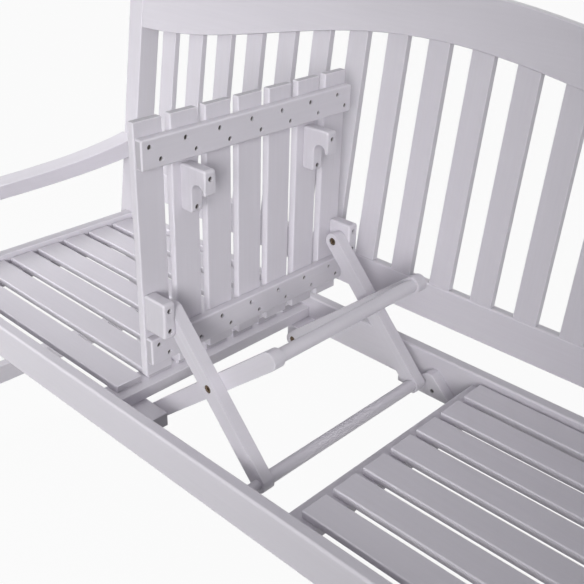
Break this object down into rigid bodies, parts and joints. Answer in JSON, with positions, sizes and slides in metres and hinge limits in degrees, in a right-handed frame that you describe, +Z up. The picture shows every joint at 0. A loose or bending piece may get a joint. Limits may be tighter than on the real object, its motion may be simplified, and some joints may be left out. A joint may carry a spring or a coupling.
{
  "type": "three-seater bench",
  "caption": "Slatted wooden garden bench with an arched back and arms, whose middle seat lifts and folds up on a scissor support as a small table.",
  "frame": {"origin": "on the floor, in the middle of the bench's length and depth", "axes": "+X along the bench, to the right as the picture shows it; +Y to the back; +Z up. The support is raised and the tabletop stands upright, as pictured"},
  "size_m": [1.48, 0.59, 0.9636],
  "materials": {
    "painted_wood": "white satin paint",
    "bolt": "dark bronzed"
  },
  "bodies": {
    "bench": {"front_rail": "painted_wood", "rear_rail": "painted_wood", "side_rail_left": "painted_wood", "side_rail_right": "painted_wood", "inner_bearer_left": "painted_wood", "inner_bearer_right": "painted_wood", "outer_bearer_left": "painted_wood", "outer_bearer_right": "painted_wood", "front_leg_left": "painted_wood", "front_leg_right": "painted_wood", "back_post_left": "painted_wood", "back_post_right": "painted_wood", "arm_left": "painted_wood", "arm_right": "painted_wood", "side_stretcher_left": "painted_wood", "side_stretcher_right": "painted_wood", "crest_rail": "painted_wood", "lower_back_rail": "painted_wood", "back_slats": "painted_wood", "left_seat_slat_1": "painted_wood", "left_seat_slat_2": "painted_wood", "left_seat_slat_3": "painted_wood", "left_seat_slat_4": "painted_wood", "left_seat_slat_5": "painted_wood", "left_seat_slat_6": "painted_wood", "left_seat_slat_7": "painted_wood", "right_seat_slat_1": "painted_wood", "right_seat_slat_2": "painted_wood", "right_seat_slat_3": "painted_wood", "right_seat_slat_4": "painted_wood", "right_seat_slat_5": "painted_wood", "right_seat_slat_6": "painted_wood", "right_seat_slat_7": "painted_wood", "pivot_block_front": "painted_wood", "pivot_block_rear": "painted_wood", "catch_front": "painted_wood", "catch_rear": "painted_wood", "support_pivot_bolts": "bolt"},
    "support_frame": {"inner_leg_front": "painted_wood", "inner_leg_rear": "painted_wood", "upper_dowel": "painted_wood", "middle_bolts": "bolt"},
    "cross_frame": {"outer_leg_front": "painted_wood", "outer_leg_rear": "painted_wood", "lower_dowel": "painted_wood"},
    "tabletop": {"table_slat_1": "painted_wood", "table_slat_2": "painted_wood", "table_slat_3": "painted_wood", "table_slat_4": "painted_wood", "table_slat_5": "painted_wood", "table_slat_6": "painted_wood", "table_slat_7": "painted_wood", "cleat_hinge_end": "painted_wood", "cleat_free_end": "painted_wood", "hinge_block_front": "painted_wood", "hinge_block_rear": "painted_wood", "hook_block_front": "painted_wood", "hook_block_rear": "painted_wood", "table_pivot_bolts": "bolt"}
  },
  "joints": [
    {"name": "support_fold", "type": "hinge", "parent": "bench", "child": "support_frame", "pos_m": [-0.153, -0.02371, 0.36], "axis": [0, 1, 0], "range_deg": [0, 42.67]},
    {"name": "cross_fold", "type": "hinge", "parent": "support_frame", "child": "cross_frame", "pos_m": [-0.0088, -0.02371, 0.47971], "axis": [0, -1, 0], "range_deg": [0, 80.83]},
    {"name": "tabletop_swing", "type": "hinge", "parent": "cross_frame", "child": "tabletop", "pos_m": [-0.08929, -0.02371, 0.56572], "axis": [0, 1, 0], "range_deg": [0, 128.16]}
  ],
  "couplings": [
    {"joint": "cross_fold", "follows": "support_fold", "ratio": 1.8931},
    {"joint": "tabletop_swing", "follows": "support_fold", "ratio": 3.0023}
  ]
}
